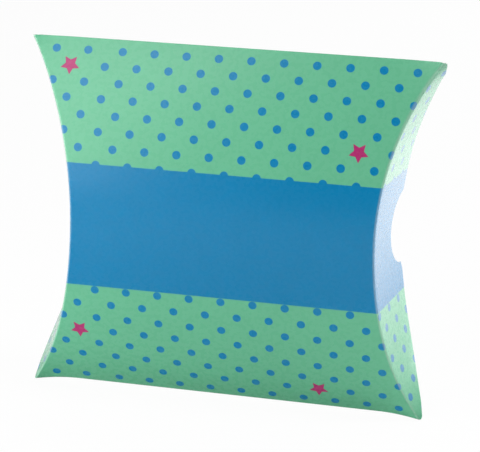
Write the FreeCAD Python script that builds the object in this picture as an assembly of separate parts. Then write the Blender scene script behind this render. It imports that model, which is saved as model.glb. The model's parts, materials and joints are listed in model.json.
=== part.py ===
import FreeCAD, Part
import math
import os

# Pillow box of printed paperboard, standing on its bottom fold.
# One die-cut sheet makes two bowed panels, a glued top seam and two flaps at each end.
# Frame: X along the width, front at -Y, +Z up, origin at the middle of the bottom fold.

# Box, from corner to corner, from fold to fold and across the bulge
box_width = 137.5
box_height = 122.0
box_depth = 32.6
board = 0.45
fold_width = 1.4

# End creases: how far a crease sets back for each millimetre that its panel bulges
crease_share = 1.10
# The back panel is shorter at each end, so that its flaps tuck under the outer ones
tuck = 0.7
crease_gap = 0.03

# Outer flaps, on the front panel, with a thumb cut in the free edge
outer_relief = 0.4
corner_reach = 2.5
middle_reach = 0.4
corner_round = 1.6
thumb_radius = 12.6
thumb_set_out = 1.2

# Inner flaps, on the back panel, with a straight free edge
inner_relief = 4.0
inner_stop = 0.3

# Glued seam under the top edge of the front panel
tab_reach = 13.0
tab_end_inset = 4.0
tab_taper = 8.0
glue_thickness = 0.12
glue_clearance = 0.05
glue_width = 7.0
glue_drop = 3.0
glue_end_inset = 16.0

# Worked out from the sizes above
half_width = box_width / 2
half_height = box_height / 2
half_depth = box_depth / 2
half_fold = fold_width / 2
bulge = half_depth - half_fold
radius = (half_height ** 2 + bulge ** 2) / (2 * bulge)
crease_set_back = crease_share * bulge
front_inside = radius - board
tab_outside = front_inside - glue_thickness - 2 * glue_clearance
reach = box_width + box_depth
up = FreeCAD.Vector(0, 0, 1)
front = -1
back = 1


def slab(x_span, y_low, y_high, z_low, z_high):
    corner = FreeCAD.Vector(-x_span / 2, y_low, z_low)
    return Part.makeBox(x_span, y_high - y_low, z_high - z_low, corner)


def panel_curve(shell_radius, side):
    # Everything behind the curved face of the front or back panel
    start = FreeCAD.Vector(-reach, side * (half_depth - radius), half_height)
    return Part.makeCylinder(shell_radius, 2 * reach, start, FreeCAD.Vector(1, 0, 0))


def panel_sheet(outer_radius, thickness, side, z_low, z_high):
    sheet = panel_curve(outer_radius, side).cut(panel_curve(outer_radius - thickness, side))
    y_low, y_high = sorted((0, side * box_depth))
    return sheet.common(slab(box_width + fold_width, y_low, y_high, z_low, z_high))


class RightEnd:
    # A curved crease lies in an upright plane, and the flap is the panel mirrored in that plane.
    def __init__(self, side, inset):
        normal = FreeCAD.Vector(1, side * crease_share, 0).normalize()
        corner = FreeCAD.Vector(half_width - inset, side * half_fold, 0)
        panel_axis = FreeCAD.Vector(half_width, side * (half_depth - radius), half_height)
        self.along = FreeCAD.Vector(1, 0, 0) - normal * (2 * normal.x)
        self.axis = panel_axis - normal * (2 * (panel_axis - corner).dot(normal))
        self.outward = FreeCAD.Vector(abs(self.along.y), side * self.along.x, 0)
        self.middle = FreeCAD.Vector(half_width - inset - crease_set_back, side * half_depth, 0)
        self.inward_share = abs(self.along.y)

    def curve(self, shell_radius):
        # Everything outside the hollow face of the end
        return Part.makeCylinder(shell_radius, 2 * reach, self.axis - self.along * reach, self.along)

    def sheet(self, side):
        flap = self.curve(radius + board).cut(self.curve(radius))
        return flap.common(panel_curve(radius, side))

    def point(self, along, height):
        return self.middle + self.along * along + up * height - self.outward * box_depth


outer_end = RightEnd(front, 0)
inner_end = RightEnd(back, tuck)


def both_ends(shape):
    return shape.fuse(mirrored(shape))


def mirrored(shape):
    return shape.mirror(FreeCAD.Vector(0, 0, 0), FreeCAD.Vector(1, 0, 0))


def outer_flap():
    end = outer_end
    low = outer_relief
    high = box_height - outer_relief
    crease_tip = bulge * (crease_share * end.along.x + end.inward_share)
    at_corner = crease_tip + fold_width / end.inward_share + corner_reach
    at_middle = box_depth / end.inward_share + middle_reach
    root = -board
    edge_middle = end.point(at_middle, half_height)
    free_edge = Part.Arc(end.point(at_corner, low), edge_middle, end.point(at_corner, high))
    outline = Part.Wire([
        Part.makeLine(end.point(root, low), end.point(at_corner, low)),
        free_edge.toShape(),
        Part.makeLine(end.point(at_corner, high), end.point(root, high)),
        Part.makeLine(end.point(root, high), end.point(root, low)),
    ])
    blank = Part.Face(outline).extrude(end.outward * (2 * box_depth))
    corners = [edge for edge in blank.Edges if is_blank_corner(edge, end, crease_tip)]
    blank = blank.makeFillet(corner_round, corners)
    thumb_centre = end.point(at_middle + thumb_set_out, half_height)
    thumb = Part.makeCylinder(thumb_radius, 2 * box_depth, thumb_centre, end.outward)
    return end.sheet(front).common(blank).cut(thumb)


def is_blank_corner(edge, end, crease_tip):
    first, last = edge.Vertexes[0].Point, edge.Vertexes[-1].Point
    runs_outward = abs((last - first).normalize().dot(end.outward)) > math.cos(math.radians(1))
    return runs_outward and (first - end.middle).dot(end.along) > crease_tip


def inner_flap():
    keep = Part.makeBox(
        half_width,
        half_depth - inner_stop,
        box_height - 2 * inner_relief,
        FreeCAD.Vector(0, inner_stop, inner_relief),
    )
    return inner_end.sheet(back).common(keep)


outer_clearance = both_ends(outer_end.curve(radius + board + crease_gap))
inner_clearance = both_ends(inner_end.curve(radius + board + crease_gap))


def front_panel():
    return panel_sheet(radius, board, front, board, box_height).cut(outer_clearance)


def back_panel():
    return panel_sheet(radius, board, back, board, box_height - board).cut(inner_clearance)


def bottom_fold():
    strip = panel_curve(radius, front).common(panel_curve(radius, back))
    return strip.common(slab(box_width, -half_depth, half_depth, 0, board)).cut(outer_clearance)


def top_fold():
    strip = panel_curve(tab_outside, front).common(panel_curve(radius, back))
    level = slab(box_width, -half_depth, half_depth, box_height - board, box_height)
    return strip.common(level).cut(outer_clearance)


def glue_tab():
    low = box_height - tab_reach
    sheet = panel_sheet(tab_outside, board, front, low, box_height - board)
    at_fold = half_width - tab_end_inset
    at_edge = at_fold - tab_taper
    outline = Part.makePolygon([
        FreeCAD.Vector(-at_fold, -half_depth, box_height),
        FreeCAD.Vector(-at_edge, -half_depth, low),
        FreeCAD.Vector(at_edge, -half_depth, low),
        FreeCAD.Vector(at_fold, -half_depth, box_height),
        FreeCAD.Vector(-at_fold, -half_depth, box_height),
    ])
    return sheet.common(Part.Face(outline).extrude(FreeCAD.Vector(0, half_depth, 0)))


def glue_line():
    high = box_height - glue_drop
    strip = panel_sheet(front_inside - glue_clearance, glue_thickness, front, high - glue_width, high)
    return strip.common(slab(box_width - 2 * glue_end_inset, -half_depth, 0, 0, box_height))


right_outer = outer_flap()
right_inner = inner_flap()
parts = {
    "front_panel": front_panel(),
    "back_panel": back_panel(),
    "bottom_fold": bottom_fold(),
    "top_fold": top_fold(),
    "glue_tab": glue_tab(),
    "glue_line": glue_line(),
    "right_outer_flap": right_outer,
    "right_inner_flap": right_inner,
    "left_outer_flap": mirrored(right_outer),
    "left_inner_flap": mirrored(right_inner),
}

os.makedirs("parts", exist_ok=True)
for name, shape in parts.items():
    solids = shape.Solids
    if len(solids) != 1 or not shape.isValid():
        raise RuntimeError(f"{name} is not one sound solid")
    solids[0].exportStep(f"parts/{name}.step")
    print(f"{name}: {solids[0].Volume:.1f} mm3")

print(f"panel radius {radius:.2f} mm")
for label, end in (("outer", outer_end), ("inner", inner_end)):
    print(f"{label} crease middle: x {end.middle.x:.3f}, y {end.middle.y:.3f}")
    print(f"{label} flap lean: {math.degrees(math.asin(end.along.x)):.2f} degrees")
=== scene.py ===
import json
import math

import bpy
import bmesh
from mathutils import Matrix, Vector


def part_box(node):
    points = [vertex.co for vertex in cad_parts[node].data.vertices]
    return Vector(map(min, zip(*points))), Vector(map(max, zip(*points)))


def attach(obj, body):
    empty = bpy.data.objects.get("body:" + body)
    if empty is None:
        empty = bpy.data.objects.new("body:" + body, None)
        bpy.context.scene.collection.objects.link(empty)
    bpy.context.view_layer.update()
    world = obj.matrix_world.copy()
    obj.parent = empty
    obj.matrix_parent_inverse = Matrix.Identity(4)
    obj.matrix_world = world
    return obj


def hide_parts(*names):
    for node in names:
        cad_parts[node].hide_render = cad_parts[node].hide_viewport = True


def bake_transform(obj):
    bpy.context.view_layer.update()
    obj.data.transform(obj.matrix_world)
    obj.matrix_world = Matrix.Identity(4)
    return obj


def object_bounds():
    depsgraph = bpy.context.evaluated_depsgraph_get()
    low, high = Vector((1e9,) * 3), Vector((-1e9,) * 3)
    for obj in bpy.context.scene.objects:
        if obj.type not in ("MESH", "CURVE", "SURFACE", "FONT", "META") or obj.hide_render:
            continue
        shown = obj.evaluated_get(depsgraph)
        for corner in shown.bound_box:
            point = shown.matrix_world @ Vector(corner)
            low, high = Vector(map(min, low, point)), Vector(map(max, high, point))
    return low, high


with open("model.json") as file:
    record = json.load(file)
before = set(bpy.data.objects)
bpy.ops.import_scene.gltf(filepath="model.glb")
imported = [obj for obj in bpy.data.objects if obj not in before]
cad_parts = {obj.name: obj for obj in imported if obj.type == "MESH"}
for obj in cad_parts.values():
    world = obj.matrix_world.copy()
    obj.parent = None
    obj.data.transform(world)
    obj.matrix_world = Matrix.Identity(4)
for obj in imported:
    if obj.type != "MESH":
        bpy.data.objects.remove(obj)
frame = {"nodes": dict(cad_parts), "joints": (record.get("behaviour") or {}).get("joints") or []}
cadLow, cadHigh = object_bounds()
mm = 0.001
print("packed box loaded")

# Form of the folded sheet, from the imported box
sleeve = {
    "halfFold": 0.7 * mm,     # half the width of the top and bottom folds
    "board": 0.45 * mm,
    "creaseShare": 1.10,      # how far a crease sets back for each millimetre of bulge
    "rowsBeside": 30,         # rows of faces above and below the thumb cut
    "rowsAcross": 26,         # rows of faces over the thumb cut
    "panelColumns": 64,
}
foldPlace = {joint["name"]: Vector(joint["pos_m"]) for joint in frame["joints"]}
rightFold = foldPlace["right_outer_fold"]
boxHeight = cadHigh.z
midHeight = boxHeight / 2
halfDepth = -rightFold.y
bulge = halfDepth - sleeve["halfFold"]
halfWidth = rightFold.x + sleeve["creaseShare"] * bulge
bowRadius = (midHeight ** 2 + bulge ** 2) / (2 * bulge)
edgeAngle = math.asin(midHeight / bowRadius)
sheetLength = 2 * bowRadius * edgeAngle
rollShare = math.cos(edgeAngle) - math.tan(edgeAngle) * (1 - math.sin(edgeAngle))
bottomRadius = sleeve["halfFold"] / rollShare
panelFoot = bottomRadius * (1 - math.sin(edgeAngle))

# The tips stand a little open, and the bottom fold arches up between them
softTips = {
    "zone": 16.0 * mm,        # along the fold from each tip
    "open": 1.3 * mm,
    "arch": 1.45 * mm,
    "droop": 0.25,            # the flaps' top edges slope down
}

# Ends of the box, where a crease isn't quite a plain arc and the flaps spring outwards
ends = {
    "right_outer": {
        "hand": 1,
        "side": -1,               # on the front panel
        "inset": 0.0,
        "slackMiddle": 0.65 * mm,
        "slackLow": 1.75 * mm,    # at the bottom tip
        "slackHigh": 0.5 * mm,    # at the top tip
        "humpLow": 2.6 * mm,      # between the middle and the tip
        "humpHigh": 0.5 * mm,
        "slackTilt": 1.9 * mm,
        "leanMiddle": 5.6,        # degrees
        "leanLow": 19.0,          # more at the bottom tip
        "leanHigh": 14.0,         # more at the top tip
        "curlLow": 14.0,          # and more again close to the tips
        "curlHigh": 38.0,
        "roundMiddle": 0.8 * mm,  # radius of the fold
        "roundLow": 1.0 * mm,
        "roundHigh": 2.6 * mm,
    },
    "left_outer": {
        "hand": -1,
        "side": -1,
        "inset": 0.0,
        "slackMiddle": 0.39 * mm,
        "slackLow": 0.4 * mm,
        "slackHigh": -0.15 * mm,
        "humpLow": 2.2 * mm,
        "humpHigh": 0.2 * mm,
        "slackTilt": 0.62 * mm,
        "leanMiddle": 5.6,
        "leanLow": 22.0,
        "leanHigh": 6.0,
        "curlLow": 0.0,
        "curlHigh": 0.0,
        "roundMiddle": 0.8 * mm,
        "roundLow": 1.0 * mm,
        "roundHigh": 1.0 * mm,
    },
}
tucked = {
    "side": 1,                # on the back panel
    "inset": 0.7 * mm,
    "leanMiddle": 4.6,
    "leanLow": 4.0,
    "leanHigh": 4.0,
    "curlLow": 0.0,
    "curlHigh": 0.0,
    "roundMiddle": 0.7 * mm,
    "roundLow": 0.7 * mm,
    "roundHigh": 0.7 * mm,
}
for hand in ("right", "left"):
    ends[hand + "_inner"] = {**ends[hand + "_outer"], **tucked}


def heightShare(z):
    return (z - midHeight) / midHeight


def depthAt(z):
    if z < panelFoot:
        return math.sqrt(bottomRadius ** 2 - (bottomRadius - z) ** 2)   # round the bottom fold
    return sleeve["halfFold"] + math.sqrt(bowRadius ** 2 - (z - midHeight) ** 2) - bowRadius + bulge


def sheetRow(z):
    # distance down the flat sheet from the top edge
    if z < panelFoot:
        past = math.pi / 2 - edgeAngle - math.acos(1 - z / bottomRadius)
        return sheetRow(panelFoot) + bottomRadius * past
    return sheetLength / 2 - bowRadius * math.asin((z - midHeight) / bowRadius)


def flatPlace(x, z, end):
    # the artwork is the same on the front and the back
    return (-end["side"] * x / mm, sheetRow(z) / mm)


def tipShare(x):
    return min(1.0, max(0.0, 1 - (halfWidth - abs(x)) / softTips["zone"])) ** 2


def foldShare(z):
    return abs(heightShare(z)) ** 6


def tipOpening(x, z):
    return softTips["open"] * tipShare(x) * foldShare(z)


def archAt(x, z):
    return softTips["arch"] * (1 - tipShare(x)) * foldShare(z) if z < midHeight else 0.0


def curlShare(z):
    return abs(heightShare(z)) ** (14 if z < midHeight else 24)


def creaseAt(z, end):
    q = heightShare(z)
    setBack = sleeve["creaseShare"] * max(0.0, depthAt(z) - sleeve["halfFold"])
    atTip = end["slackLow"] if q < 0 else end["slackHigh"]
    hump = end["humpLow"] if q < 0 else end["humpHigh"]
    slack = end["slackMiddle"] + (atTip - end["slackMiddle"]) * q * q
    slack += (1 - q * q) * (hump * q * q + end["slackTilt"] * q)
    return halfWidth - end["inset"] - setBack - slack


def leanAt(z, end):
    q = heightShare(z)
    atTip = end["leanLow"] if q < 0 else end["leanHigh"]
    curl = end["curlLow"] if q < 0 else end["curlHigh"]
    return math.radians(end["leanMiddle"] + atTip * q * q + curl * curlShare(z))


def roundAt(z, end):
    atTip = end["roundLow"] if z < midHeight else end["roundHigh"]
    return end["roundMiddle"] + (atTip - end["roundMiddle"]) * abs(heightShare(z)) ** 3


def roundReach(z, end):
    # how far the rounded fold reaches from the crease, on the panel and on the flap
    return roundAt(z, end) * math.tan((math.pi / 2 - leanAt(z, end)) / 2)


def foldedPoint(v, z, end):
    # v runs along the sheet from the crease: below 0 on the panel, above 0 on the flap
    lean = leanAt(z, end)
    crease = creaseAt(z, end)
    reach = roundReach(z, end)
    if v < reach:
        angle = (math.pi / 2 - lean) * (v + reach) / (2 * reach)
        x = crease - reach + roundAt(z, end) * math.sin(angle)
        inward = roundAt(z, end) * (1 - math.cos(angle))
    else:
        x = crease + v * math.sin(lean)
        inward = v * math.cos(lean)
    tip = crease + min(v, 0.0)
    y = end["side"] * (depthAt(z) + tipOpening(tip, z) - inward)
    droop = softTips["droop"] * curlShare(z) * max(0.0, v) if z > midHeight else 0.0
    return Vector((end["hand"] * x, y, z + archAt(tip, z) - droop))


def spaced(first, last, count, gather=1.0):
    # gather above 1 sets the steps closer together near the first value
    return [first + (last - first) * (i / count) ** gather for i in range(count + 1)]


def through(points, at):
    # smooth curve through listed points
    i = max(k for k in range(len(points) - 1) if k == 0 or points[k][0] <= at)

    def slope(k):
        before = points[max(k - 1, 0)]
        after = points[min(k + 1, len(points) - 1)]
        return (after[1] - before[1]) / (after[0] - before[0])

    step = points[i + 1][0] - points[i][0]
    t = (at - points[i][0]) / step
    return (points[i][1] * (1 + 2 * t) * (1 - t) ** 2 + points[i + 1][1] * t * t * (3 - 2 * t)
            + step * (slope(i) * t * (1 - t) ** 2 - slope(i + 1) * t * t * (1 - t)))


# Every sheet is a grid of points on its printed face, thickened inwards to the board's thickness.
# places holds the point on the flat sheet in millimetres, and the fold shares are 1 on a fold, where they
# pale the print, partly for real wear of the ink and partly as a painted highlight on the crease.
def makeSheet(name, grid, places, wearAndSheen, flip, materials):
    mesh = bpy.data.meshes.new(name)
    work = bmesh.new()
    mapLayer = work.loops.layers.uv.new("sheetMap")
    wearAndSheenLayer = work.verts.layers.float.new("foldWearAndSheen")
    verts = []
    flat = {}
    for i, row in enumerate(grid):
        verts.append([])
        for j, point in enumerate(row):
            vert = work.verts.new(point)
            vert[wearAndSheenLayer] = wearAndSheen[i][j]
            flat[vert] = places[i][j]
            verts[i].append(vert)
    for i in range(len(grid) - 1):
        for j in range(len(grid[0]) - 1):
            corners = [verts[i][j], verts[i][j + 1], verts[i + 1][j + 1], verts[i + 1][j]]
            face = work.faces.new(corners[::-1] if flip else corners)
            face.smooth = True
            for loop in face.loops:
                loop[mapLayer].uv = flat[loop.vert]
    work.to_mesh(mesh)
    work.free()
    sheet = bpy.data.objects.new(name, mesh)
    bpy.context.scene.collection.objects.link(sheet)
    for material in materials:
        mesh.materials.append(material)
    thick = sheet.modifiers.new("board", "SOLIDIFY")
    thick.thickness = sleeve["board"]
    thick.offset = -1
    thick.material_offset = 1
    thick.material_offset_rim = 1
    bpy.context.view_layer.objects.active = sheet
    bpy.ops.object.modifier_apply(modifier=thick.name)
    mesh.set_sharp_from_angle(angle=math.radians(50))
    return sheet


# Building blocks of the materials
def addNode(tree, kind, **settings):
    node = tree.nodes.new(kind)
    for key, value in settings.items():
        setattr(node, key, value)
    return node


def feed(tree, socket, value):
    if hasattr(value, "is_output"):
        tree.links.new(value, socket)
    else:
        socket.default_value = value


def maths(tree, operation, first, second=0.0, third=0.0):
    node = addNode(tree, "ShaderNodeMath", operation=operation)
    for socket, value in zip(node.inputs, (first, second, third)):
        feed(tree, socket, value)
    return node.outputs[0]


def fade(tree, value, low, high, atLow=0.0, atHigh=1.0):
    node = addNode(tree, "ShaderNodeMapRange", interpolation_type="SMOOTHSTEP")
    for socket, number in zip(node.inputs, (value, low, high, atLow, atHigh)):
        feed(tree, socket, number)
    return node.outputs[0]


def blendColour(tree, share, first, second):
    node = addNode(tree, "ShaderNodeMix", data_type="RGBA")
    feed(tree, node.inputs[0], share)
    feed(tree, node.inputs[6], first)
    feed(tree, node.inputs[7], second)
    return node.outputs[2]


def noise(tree, place, scale, detail=2.0, rough=0.5):
    node = addNode(tree, "ShaderNodeTexNoise")
    feed(tree, node.inputs["Vector"], place)
    node.inputs["Scale"].default_value = scale
    node.inputs["Detail"].default_value = detail
    node.inputs["Roughness"].default_value = rough
    return node.outputs[0]


def ink(red, green, blue):
    # a colour as it is picked on screen, 0 to 255
    def straight(c):
        c = c / 255
        return c / 12.92 if c <= 0.04045 else ((c + 0.055) / 1.055) ** 2.4
    return (straight(red), straight(green), straight(blue), 1.0)


def newMaterial(name):
    material = bpy.data.materials.new(name)
    material.use_nodes = True
    tree = material.node_tree
    tree.nodes.clear()
    shader = addNode(tree, "ShaderNodeBsdfPrincipled")
    output = addNode(tree, "ShaderNodeOutputMaterial")
    tree.links.new(shader.outputs[0], output.inputs[0])
    return material, tree, shader


# Print, in millimetres on the flat sheet
pattern = {
    "pitch": 10.84,           # from dot to dot along a row, and two rows apart
    "firstColumn": 5.87,
    "firstRow": 4.23,
    "dotRadius": 1.41,
    "bandTop": 41.95,
    "bandBottom": 84.06,
    "tileEdge": -45.8,        # left of this the dots are set out from the next tile of the artwork
    "tileShift": 1.01,
    "starRadius": 3.4,
    "starWaist": 0.5,         # inner corners of a star, as a share of its radius
    "stars": [(-54.8, 9.65), (43.8, 31.3), (-49.3, 101.8), (33.0, 118.0)],
    "ground": ink(97, 175, 137),
    "blue": ink(0, 119, 167),
    "magenta": ink(166, 44, 104),
}


def starShape(tree, across, down):
    # 1 inside a five-pointed star that stands on one point
    angle = maths(tree, "ARCTAN2", across, down)
    sector = maths(tree, "PINGPONG", maths(tree, "ADD", angle, math.tau), math.pi / 5)
    length = maths(tree, "SQRT", maths(tree, "ADD", maths(tree, "MULTIPLY", across, across),
                                       maths(tree, "MULTIPLY", down, down)))
    along = maths(tree, "MULTIPLY", length, maths(tree, "COSINE", sector))
    beside = maths(tree, "MULTIPLY", length, maths(tree, "SINE", sector))
    tip = pattern["starRadius"]
    waist = tip * pattern["starWaist"]
    edge = Vector((waist * math.cos(math.pi / 5) - tip, waist * math.sin(math.pi / 5)))
    normal = Vector((edge.y, -edge.x)).normalized()
    outside = maths(tree, "ADD", maths(tree, "MULTIPLY", maths(tree, "SUBTRACT", along, tip), normal.x),
                    maths(tree, "MULTIPLY", beside, normal.y))
    return fade(tree, outside, -0.06, 0.06, 1.0, 0.0), length


def printedBoard():
    material, tree, shader = newMaterial("printedBoard")
    sheetMap = addNode(tree, "ShaderNodeUVMap", uv_map="sheetMap")
    split = addNode(tree, "ShaderNodeSeparateXYZ")
    tree.links.new(sheetMap.outputs[0], split.inputs[0])
    across, down = split.outputs[0], split.outputs[1]
    pitch = pattern["pitch"]

    # dots in staggered rows
    isNextTile = maths(tree, "LESS_THAN", across, pattern["tileEdge"])
    column = maths(tree, "MULTIPLY_ADD", isNextTile, pattern["tileShift"], across)
    column = maths(tree, "SUBTRACT", column, pattern["firstColumn"])
    row = maths(tree, "SUBTRACT", down, pattern["firstRow"])
    rising = maths(tree, "DIVIDE", maths(tree, "ADD", column, row), pitch)
    falling = maths(tree, "DIVIDE", maths(tree, "SUBTRACT", column, row), pitch)
    rising = maths(tree, "SUBTRACT", rising, maths(tree, "ROUND", rising))
    falling = maths(tree, "SUBTRACT", falling, maths(tree, "ROUND", falling))
    apart = maths(tree, "ADD", maths(tree, "MULTIPLY", rising, rising),
                  maths(tree, "MULTIPLY", falling, falling))
    fromDot = maths(tree, "MULTIPLY", maths(tree, "SQRT", apart), pitch / math.sqrt(2))
    dots = fade(tree, fromDot, pattern["dotRadius"] - 0.07, pattern["dotRadius"] + 0.07, 1.0, 0.0)
    dots = maths(tree, "MULTIPLY", dots, maths(tree, "GREATER_THAN", down, 1.0))   # none over the top edge

    # stars take the place of four dots
    stars = 0.0
    for starAcross, starDown in pattern["stars"]:
        shape, length = starShape(tree, maths(tree, "SUBTRACT", across, starAcross),
                                  maths(tree, "SUBTRACT", down, starDown))
        stars = maths(tree, "MAXIMUM", shape, stars)
        dots = maths(tree, "MULTIPLY", dots, maths(tree, "GREATER_THAN", length, 3.0))

    # band round the middle
    band = maths(tree, "MULTIPLY",
                 fade(tree, down, pattern["bandTop"] - 0.06, pattern["bandTop"] + 0.06),
                 fade(tree, down, pattern["bandBottom"] - 0.06, pattern["bandBottom"] + 0.06, 1.0, 0.0))
    blue = maths(tree, "MAXIMUM", dots, band)

    colour = blendColour(tree, blue, pattern["ground"], pattern["blue"])
    colour = blendColour(tree, stars, colour, pattern["magenta"])

    # the ink lies a little unevenly; on a fold the print is paled towards bare board, partly for real wear
    # of the ink and partly as a painted highlight on the crease
    cloud = noise(tree, sheetMap.outputs[0], 0.035, 3.0)
    grain = noise(tree, sheetMap.outputs[0], 3.0, 2.0, 0.6)
    density = maths(tree, "ADD", fade(tree, cloud, 0.25, 0.75, -0.012, 0.012),
                    fade(tree, grain, 0.2, 0.8, -0.006, 0.006))
    brighter = addNode(tree, "ShaderNodeHueSaturation")
    feed(tree, brighter.inputs["Value"], maths(tree, "ADD", density, 1.0))
    feed(tree, brighter.inputs["Color"], colour)
    wearAndSheen = addNode(tree, "ShaderNodeAttribute", attribute_name="foldWearAndSheen")
    scuffAndSheen = fade(tree, noise(tree, sheetMap.outputs[0], 0.5, 3.0, 0.6), 0.35, 0.75)
    bareAndSheen = maths(tree, "MULTIPLY", wearAndSheen.outputs["Fac"], maths(tree, "MULTIPLY_ADD", scuffAndSheen, 0.08, 0.22))
    # pale board colour mixed in on the folds: partly worn ink, partly a painted highlight
    colour = blendColour(tree, bareAndSheen, brighter.outputs[0], ink(226, 236, 230))
    feed(tree, shader.inputs["Base Color"], colour)

    # satin varnish with the faint orange peel of coated board
    peel = noise(tree, sheetMap.outputs[0], 0.55, 2.0)
    feed(tree, shader.inputs["Roughness"], fade(tree, peel, 0.2, 0.8, 0.265, 0.285))
    bump = addNode(tree, "ShaderNodeBump")
    bump.inputs["Strength"].default_value = 0.004
    bump.inputs["Distance"].default_value = 0.00004
    feed(tree, bump.inputs["Height"], maths(tree, "ADD", peel, maths(tree, "MULTIPLY", grain, 0.4)))
    tree.links.new(bump.outputs[0], shader.inputs["Normal"])
    shader.inputs["IOR"].default_value = 1.25
    shader.inputs["Coat Weight"].default_value = 1.0
    shader.inputs["Coat IOR"].default_value = 1.25
    shader.inputs["Coat Roughness"].default_value = 0.2
    return material


def rawBoard():
    material, tree, shader = newMaterial("rawBoard")
    place = addNode(tree, "ShaderNodeTexCoord")
    fibres = addNode(tree, "ShaderNodeMapping")
    fibres.inputs["Scale"].default_value = (400, 400, 1600)
    tree.links.new(place.outputs["Object"], fibres.inputs[0])
    pulp = noise(tree, fibres.outputs[0], 1.0, 4.0, 0.65)
    speck = noise(tree, place.outputs["Object"], 2600.0, 2.0)
    tone = blendColour(tree, fade(tree, pulp, 0.3, 0.7), ink(228, 226, 219), ink(242, 241, 236))
    tone = blendColour(tree, fade(tree, speck, 0.68, 0.78, 0.0, 0.35), tone, ink(196, 190, 178))
    feed(tree, shader.inputs["Base Color"], tone)
    feed(tree, shader.inputs["Roughness"], fade(tree, pulp, 0.2, 0.8, 0.82, 0.94))
    bump = addNode(tree, "ShaderNodeBump")
    bump.inputs["Strength"].default_value = 0.25
    bump.inputs["Distance"].default_value = 0.00005
    feed(tree, bump.inputs["Height"], pulp)
    tree.links.new(bump.outputs[0], shader.inputs["Normal"])
    return material


def driedGlue():
    material, tree, shader = newMaterial("driedGlue")
    place = addNode(tree, "ShaderNodeTexCoord")
    ripple = noise(tree, place.outputs["Object"], 420.0, 3.0)
    tone = blendColour(tree, fade(tree, ripple, 0.3, 0.7), ink(226, 221, 204), ink(240, 237, 226))
    feed(tree, shader.inputs["Base Color"], tone)
    feed(tree, shader.inputs["Roughness"], fade(tree, ripple, 0.2, 0.8, 0.3, 0.5))
    bump = addNode(tree, "ShaderNodeBump")
    bump.inputs["Strength"].default_value = 0.3
    bump.inputs["Distance"].default_value = 0.0001
    feed(tree, bump.inputs["Height"], ripple)
    tree.links.new(bump.outputs[0], shader.inputs["Normal"])
    return material


printed = printedBoard()
raw = rawBoard()
glue = driedGlue()
print("materials made: printed board, raw board, dried glue")

# Thumb cut in the free edge of an outer flap
thumbCut = {
    "radius": 12.6 * mm,
    "centre": 35.0 * mm,      # from the crease
    "rise": 0.8 * mm,         # above the middle
}
rollRows = {
    "count": 4,
    "stop": math.radians(22),     # where the panels end under the box
}
topEdge = {
    "relief": 0.15 * mm,      # flaps are cut clear of the top edge
    "drop": 0.35 * mm,        # top fold below the front panel's edge
}
cutMiddle = midHeight + thumbCut["rise"]
cutLow = cutMiddle - 0.995 * thumbCut["radius"]
cutHigh = cutMiddle + 0.995 * thumbCut["radius"]
rollAngles = spaced(rollRows["stop"], math.pi / 2 - edgeAngle, rollRows["count"])
rowHeights = [bottomRadius * (1 - math.cos(angle)) for angle in rollAngles[:-1]]
rowHeights += spaced(panelFoot, cutLow, sleeve["rowsBeside"], 1.5)
rowHeights += [cutMiddle + thumbCut["radius"] * math.sin(math.radians(angle))
               for angle in spaced(-82, 82, sleeve["rowsAcross"])]
rowHeights += spaced(boxHeight - topEdge["relief"], cutHigh, sleeve["rowsBeside"], 1.5)[::-1]


def spanAt(z, layer):
    # from one rounded crease to the other
    leftEnd = ends["left_" + layer]
    rightEnd = ends["right_" + layer]
    left = roundReach(z, leftEnd) - creaseAt(z, leftEnd)
    right = creaseAt(z, rightEnd) - roundReach(z, rightEnd)
    return left, right


# Front and back panels
def makePanel(name, layer, heights):
    end = ends["right_" + layer]
    side = end["side"]
    grid = []
    places = []
    wearAndSheen = []
    for z in heights:
        xs = spaced(*spanAt(z, layer), sleeve["panelColumns"])
        grid.append([Vector((x, side * (depthAt(z) + tipOpening(x, z)), z + archAt(x, z))) for x in xs])
        places.append([flatPlace(x, z, end) for x in xs])
        wearAndSheen.append([0.0 for x in xs])
    return makeSheet(name, grid, places, wearAndSheen, side > 0, [printed, raw])


frontPanel = makePanel("frontPanel", "outer", rowHeights + [boxHeight])
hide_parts("front_panel")
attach(frontPanel, "shell")

topLow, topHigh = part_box("top_fold")
topReach = sleeve["halfFold"] - topLow.y + topEdge["drop"] * math.tan(edgeAngle)
topRadius = topReach / (rollShare + math.cos(edgeAngle))
panelHead = boxHeight - topEdge["drop"] - topRadius * (1 - math.sin(edgeAngle))
backHeights = [z for z in rowHeights if z < panelHead - 0.2 * mm] + [panelHead]
backPanel = makePanel("backPanel", "inner", backHeights)
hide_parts("back_panel")
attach(backPanel, "shell")
print("front and back panels bowed")


# Rounded folds: the bottom one joins the two panels, the top one the back panel and the glue tab
def makeRoll(name, middleY, radius, middleZ, halfTurn, upward, edgeHeight):
    frontSpan = spanAt(edgeHeight, "outer")
    backSpan = spanAt(edgeHeight, "inner")
    grid = []
    places = []
    wearAndSheen = []
    for share in spaced(0, 1, 10):
        angle = -halfTurn + 2 * halfTurn * share
        left = frontSpan[0] + (backSpan[0] - frontSpan[0]) * share
        right = frontSpan[1] + (backSpan[1] - frontSpan[1]) * share
        y = middleY + radius * math.sin(angle)
        z = middleZ + upward * radius * math.cos(angle)
        toSide = math.sin(angle) / math.sin(halfTurn)
        row = sheetRow(edgeHeight) - upward * radius * (halfTurn - abs(angle))
        xs = spaced(left, right, sleeve["panelColumns"])
        opened = [y + toSide * tipOpening(x, edgeHeight) for x in xs]
        lifted = [z + archAt(x, edgeHeight) for x in xs]
        grid.append([Vector(point) for point in zip(xs, opened, lifted)])
        places.append([(x / mm, row / mm) for x in xs])
        # folds paled a little: partly worn ink, partly a painted highlight
        wearAndSheen.append([0.3 * math.sin(math.pi * share) for x in xs])
    return makeSheet(name, grid, places, wearAndSheen, upward < 0, [printed, raw])


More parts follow.
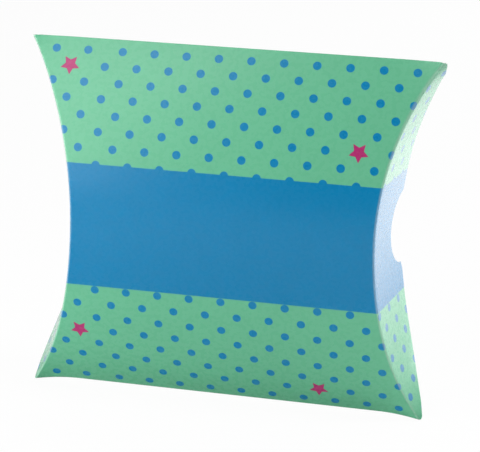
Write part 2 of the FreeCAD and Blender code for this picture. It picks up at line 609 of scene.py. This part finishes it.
bottomFold = makeRoll("bottomFold", 0.0, bottomRadius, bottomRadius, rollRows["stop"], -1, rowHeights[0])
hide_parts("bottom_fold")
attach(bottomFold, "shell")

topFold = makeRoll("topFold", topLow.y + topRadius * math.cos(edgeAngle), topRadius,
                   boxHeight - topEdge["drop"] - topRadius, math.pi / 2 - edgeAngle, 1, panelHead)
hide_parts("top_fold")
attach(topFold, "shell")
print("top and bottom folds rolled")

# How far the free edge of an outer flap is from its crease, by height from the middle
freeEdge = [
    (-60.9 * mm, 0.5 * mm),
    (-60.5 * mm, 1.6 * mm),
    (-59.8 * mm, 2.5 * mm),
    (-58.4 * mm, 3.75 * mm),
    (-54.9 * mm, 7.2 * mm),
    (-40.3 * mm, 19.65 * mm),
    (-25.3 * mm, 29.15 * mm),
    (-12.4 * mm, 34.5 * mm),
    (13.0 * mm, 33.7 * mm),
    (18.9 * mm, 32.0 * mm),
    (37.2 * mm, 21.0 * mm),
    (50.3 * mm, 12.6 * mm),
    (54.9 * mm, 8.5 * mm),
    (56.6 * mm, 7.0 * mm),
    (58.4 * mm, 4.1 * mm),
    (61 * mm, 0.9 * mm),
]


def outerReach(z, end):
    width = through(freeEdge, z - midHeight)
    offCentre = abs(z - cutMiddle)
    if offCentre < thumbCut["radius"]:
        width = min(width, thumbCut["centre"] - math.sqrt(thumbCut["radius"] ** 2 - offCentre ** 2))
    return width


innerFlap = {
    "relief": 4.0 * mm,       # clear of the folds at the top and bottom
    "stop": 0.3 * mm,         # free edge, just behind the middle of the box
}


def innerReach(z, end):
    return (depthAt(z) - innerFlap["stop"]) / math.cos(leanAt(z, end))


# The rounded crease and its flap are one sheet
def makeFlap(name, end, heights, reachAt):
    grid = []
    places = []
    wearAndSheen = []
    for z in heights:
        soft = roundReach(z, end)
        width = max(reachAt(z, end), soft + 0.2 * mm)
        steps = spaced(-soft, soft, 8) + spaced(soft, width, 14)[1:]
        grid.append([foldedPoint(v, z, end) for v in steps])
        places.append([flatPlace(end["hand"] * (creaseAt(z, end) + v), z, end) for v in steps])
        # paled along the rounded crease and over the curled top corner: partly worn ink, partly a painted
        # highlight
        wornAndSheen = min(1.0, end["curlHigh"] / 30) * curlShare(z) if z > midHeight else 0.0
        wearAndSheen.append([max(1.0 - abs(v) / soft, wornAndSheen * min(1.0, (v + soft) / soft), 0.0) for v in steps])
    flip = (end["side"] > 0) != (end["hand"] < 0)
    return makeSheet(name, grid, places, wearAndSheen, flip, [printed, raw])


def hangFlap(half, endName):
    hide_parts(endName + "_flap")
    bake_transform(half)


def makeHalves(hand, layer, heights, reachAt):
    endName = hand + "_" + layer
    name = hand + layer.capitalize() + "Flap"
    lowRows = [z for z in heights if z < midHeight - 0.2 * mm] + [midHeight]
    highRows = [midHeight] + [z for z in heights if z > midHeight + 0.2 * mm]
    for half, upward, rows in (("Lower", -1, lowRows), ("Upper", 1, highRows)):
        flap = makeFlap(name + half, ends[endName], rows, reachAt)
        hangFlap(flap, endName)


innerHeights = [z for z in rowHeights if innerFlap["relief"] < z < boxHeight - innerFlap["relief"]]
for hand in ("right", "left"):
    makeHalves(hand, "outer", rowHeights, outerReach)
    makeHalves(hand, "inner", innerHeights, innerReach)
print("four flaps folded in")

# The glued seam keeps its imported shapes
for node, material in (("glue_tab", raw), ("glue_line", glue)):
    seam = frame["nodes"][node]
    seam.data.materials.clear()
    seam.data.materials.append(material)
print("glued seam finished")

# Camera at the photograph's angle
view = {
    "place": Vector((125.8, -557.2, 223.3)) * mm,
    "aim": Vector((3.02, 0.50, 61.65)) * mm,
    "roll": 1.72,             # degrees
    "lens": 133.06,           # for a 36 mm wide frame of 480 by 452
}


def placeCamera():
    data = bpy.data.cameras.new("camera")
    data.sensor_fit = "HORIZONTAL"
    data.sensor_width = 36
    data.lens = view["lens"]
    data.clip_start = 0.01
    data.dof.use_dof = False
    ahead = (view["aim"] - view["place"]).normalized()
    right = ahead.cross(Vector((0, 0, 1))).normalized()
    above = right.cross(ahead)
    roll = math.radians(view["roll"])
    rolledRight = right * math.cos(roll) + above * math.sin(roll)
    rolledAbove = above * math.cos(roll) - right * math.sin(roll)
    turn = Matrix((rolledRight, rolledAbove, -ahead)).transposed().to_4x4()
    camera = bpy.data.objects.new("camera", data)
    camera.matrix_world = Matrix.Translation(view["place"]) @ turn
    bpy.context.scene.collection.objects.link(camera)
    bpy.context.scene.camera = camera


placeCamera()
print("camera placed")

# Pale floor and soft studio light
studio = {
    "floorColour": (0.75, 0.75, 0.75, 1.0),
    "floorWhite": 0.96,       # how far the floor fades to white for the camera
    "brightSide": (0.25, 0.97),   # towards a pale wall behind the box
    "wallEdge": (0.1, 0.8),
    "bright": 1.2,
}
softboxes = {
    "leftSoftbox": {
        "place": (-0.34, -0.70, 0.41),    # tall, standing on the floor
        "target": (0.0, 0.0, midHeight),
        "width": 0.24,
        "height": 0.85,
        "power": 2.8,
        "spread": 180,
    },
    "sideSoftbox": {
        "place": (-0.30, -0.22, 0.12),    # small, close to the left end
        "target": (-0.09, -0.09, 0.0),
        "width": 0.15,
        "height": 0.15,
        "power": 0.92,
        "spread": 180,
    },
    "topSoftbox": {
        "place": (0.45, -0.10, 0.85),
        "target": (0.05, 0.0, 0.05),
        "width": 0.3,
        "height": 0.3,
        "power": 5.2,
        "spread": 180,
    },
    "rearSoftbox": {
        "place": (0.55, 0.95, 0.20),      # mirrored in the right end
        "target": (0.05, 0.0, 0.06),
        "width": 0.8,
        "height": 0.6,
        "power": 7.2,
        "spread": 180,
    },
    "lowPanel": {
        "place": (0.345, 0.19, 0.002),    # lies on the floor beside and behind the right end
        "target": (0.345, 0.19, 1.0),
        "width": 0.54,
        "height": 0.54,
        "power": 0.8,
        "spread": 180,
    },
}


def makeFloor():
    mesh = bpy.data.meshes.new("floor")
    half = 4.0
    corners = [(-half, -half, 0), (half, -half, 0), (half, half, 0), (-half, half, 0)]
    mesh.from_pydata(corners, [], [(0, 1, 2, 3)])
    floor = bpy.data.objects.new("floor", mesh)
    bpy.context.scene.collection.objects.link(floor)
    material = bpy.data.materials.new("paleFloor")
    material.use_nodes = True
    tree = material.node_tree
    tree.nodes.clear()
    matt = addNode(tree, "ShaderNodeBsdfDiffuse")
    matt.inputs["Color"].default_value = studio["floorColour"]
    white = addNode(tree, "ShaderNodeEmission")
    path = addNode(tree, "ShaderNodeLightPath")
    share = maths(tree, "MULTIPLY", path.outputs["Is Camera Ray"], studio["floorWhite"])
    mix = addNode(tree, "ShaderNodeMixShader")
    feed(tree, mix.inputs[0], share)
    tree.links.new(matt.outputs[0], mix.inputs[1])
    tree.links.new(white.outputs[0], mix.inputs[2])
    output = addNode(tree, "ShaderNodeOutputMaterial")
    tree.links.new(mix.outputs[0], output.inputs[0])
    mesh.materials.append(material)


def makeSurround():
    world = bpy.data.worlds.new("studio")
    bpy.context.scene.world = world
    world.use_nodes = True
    tree = world.node_tree
    tree.nodes.clear()
    place = addNode(tree, "ShaderNodeTexCoord")
    split = addNode(tree, "ShaderNodeSeparateXYZ")
    tree.links.new(place.outputs["Generated"], split.inputs[0])
    across, back = studio["brightSide"]
    towards = maths(tree, "ADD", maths(tree, "MULTIPLY", split.outputs[0], across),
                    maths(tree, "MULTIPLY", split.outputs[1], back))
    walls = addNode(tree, "ShaderNodeBackground")
    walls.inputs["Color"].default_value = (1, 1, 1, 1)
    feed(tree, walls.inputs["Strength"], fade(tree, towards, *studio["wallEdge"], 0.0, studio["bright"]))
    white = addNode(tree, "ShaderNodeBackground")
    white.inputs["Color"].default_value = (1, 1, 1, 1)
    white.inputs["Strength"].default_value = 1.0
    path = addNode(tree, "ShaderNodeLightPath")
    mix = addNode(tree, "ShaderNodeMixShader")
    tree.links.new(path.outputs["Is Camera Ray"], mix.inputs[0])
    tree.links.new(walls.outputs[0], mix.inputs[1])
    tree.links.new(white.outputs[0], mix.inputs[2])
    output = addNode(tree, "ShaderNodeOutputWorld")
    tree.links.new(mix.outputs[0], output.inputs[0])


def makeSoftbox(name, settings):
    data = bpy.data.lights.new(name, "AREA")
    data.shape = "RECTANGLE"
    data.size = settings["width"]
    data.size_y = settings["height"]
    data.energy = settings["power"]
    data.spread = math.radians(settings["spread"])
    lamp = bpy.data.objects.new(name, data)
    lamp.location = settings["place"]
    lamp.visible_camera = False
    ahead = Vector(settings["target"]) - lamp.location
    lamp.rotation_euler = ahead.to_track_quat("-Z", "Y").to_euler()
    bpy.context.scene.collection.objects.link(lamp)


makeFloor()
makeSurround()
for name, settings in softboxes.items():
    makeSoftbox(name, settings)
bpy.context.scene.view_settings.view_transform = "Standard"
print("floor and studio light set")
